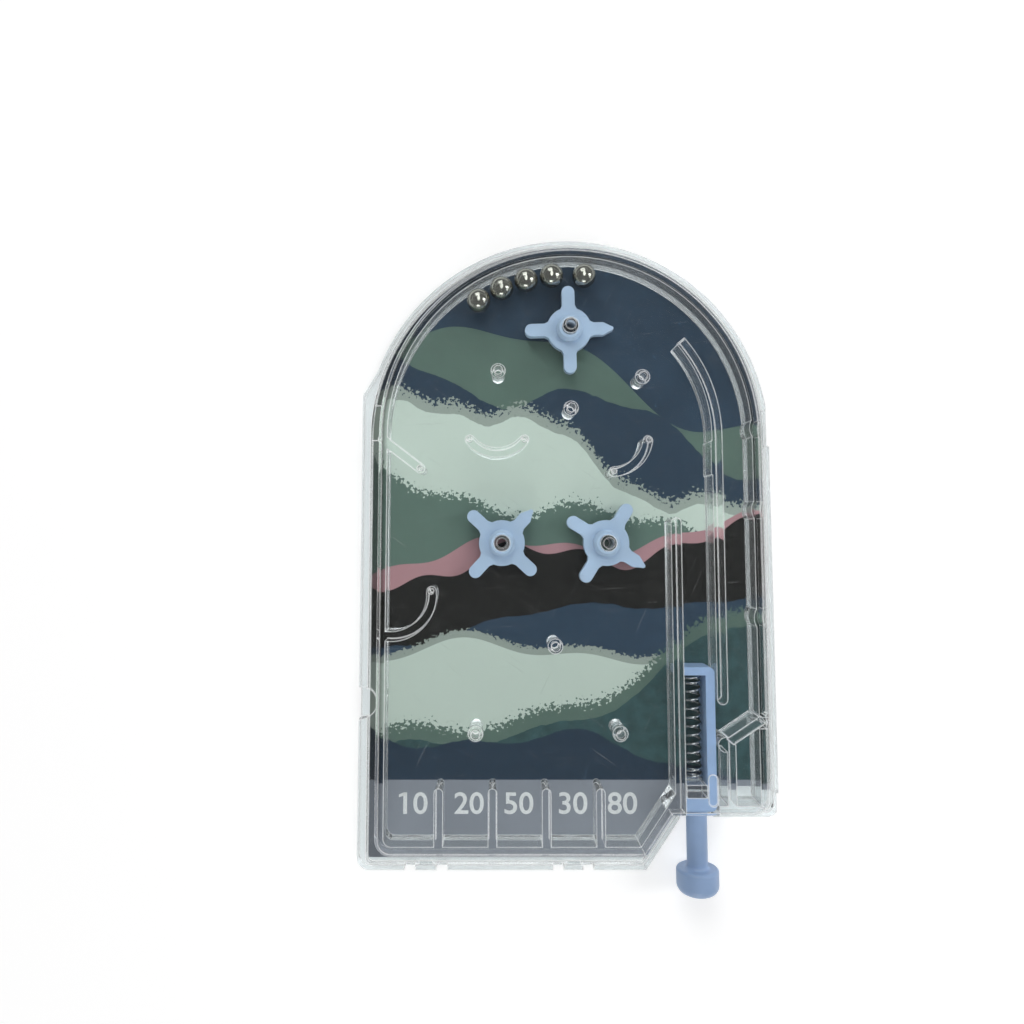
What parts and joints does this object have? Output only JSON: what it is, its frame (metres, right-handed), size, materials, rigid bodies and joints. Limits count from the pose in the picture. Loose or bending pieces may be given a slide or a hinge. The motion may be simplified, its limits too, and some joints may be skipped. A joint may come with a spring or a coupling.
{
  "type": "handheld pinball game",
  "caption": "Pocket pinball game: clear arched case over a printed card, with spinners, pegs, curved ribs, score pockets, loose steel balls and a sprung plunger.",
  "frame": {"origin": "centre of the arched end, on the back face of the case, which the game lies on", "axes": "+X to the plunger's side, +Y towards the arched end, +Z out through the window"},
  "size_m": [0.0762, 0.1196, 0.0094],
  "materials": {
    "clear_back": "clear moulded, polished",
    "clear_front": "clear moulded, polished, lightly scratched",
    "card": "printed card, satin",
    "pale_blue": "satin moulded",
    "blue": "satin moulded",
    "ball_steel": "polished steel, slightly dull",
    "spring_steel": "drawn wire"
  },
  "bodies": {
    "case": {"back_case": "clear_back", "printed_card": "card", "front_cover": "clear_front", "plunger_spring": "spring_steel"},
    "spinner_top": {"spinner_top": "pale_blue"},
    "spinner_left": {"spinner_left": "pale_blue"},
    "spinner_right": {"spinner_right": "pale_blue"},
    "ball_1": {"ball_1": "ball_steel"},
    "ball_2": {"ball_2": "ball_steel"},
    "ball_3": {"ball_3": "ball_steel"},
    "ball_4": {"ball_4": "ball_steel"},
    "ball_5": {"ball_5": "ball_steel"},
    "plunger": {"plunger": "blue"}
  },
  "joints": [
    {"name": "spinner_top_turn", "type": "hinge", "parent": "case", "child": "spinner_top", "pos_m": [0.00035, 0.02025, 0.004], "axis": [0, 0, 1], "continuous": true},
    {"name": "spinner_left_turn", "type": "hinge", "parent": "case", "child": "spinner_left", "pos_m": [-0.0123, -0.0197, 0.004], "axis": [0, 0, 1], "continuous": true},
    {"name": "spinner_right_turn", "type": "hinge", "parent": "case", "child": "spinner_right", "pos_m": [0.0069, -0.0197, 0.004], "axis": [0, 0, 1], "continuous": true},
    {"name": "plunger_slide", "type": "slide", "parent": "case", "child": "plunger", "axis": [0, -1, 0], "range_m": [0, 0.012], "stiffness_N_per_m": 150, "springref_m": -0.004, "deforming": ["plunger_spring"]},
    {"name": "ball_1_roll", "type": "hinge", "parent": "case", "child": "ball_1", "pos_m": [0, 0, 0.0043], "axis": [0, 0, 1], "range_deg": [0, 45]},
    {"name": "ball_2_roll", "type": "hinge", "parent": "case", "child": "ball_2", "pos_m": [0, 0, 0.0043], "axis": [0, 0, 1], "range_deg": [0, 45]},
    {"name": "ball_3_roll", "type": "hinge", "parent": "case", "child": "ball_3", "pos_m": [0, 0, 0.0043], "axis": [0, 0, 1], "range_deg": [0, 45]},
    {"name": "ball_4_roll", "type": "hinge", "parent": "case", "child": "ball_4", "pos_m": [0, 0, 0.0043], "axis": [0, 0, 1], "range_deg": [0, 45]},
    {"name": "ball_5_roll", "type": "hinge", "parent": "case", "child": "ball_5", "pos_m": [0, 0, 0.0043], "axis": [0, 0, 1], "range_deg": [-75, 0]}
  ],
  "couplings": [
    {"joint": "ball_2_roll", "follows": "ball_1_roll", "ratio": 1},
    {"joint": "ball_3_roll", "follows": "ball_1_roll", "ratio": 1},
    {"joint": "ball_4_roll", "follows": "ball_1_roll", "ratio": 1}
  ]
}
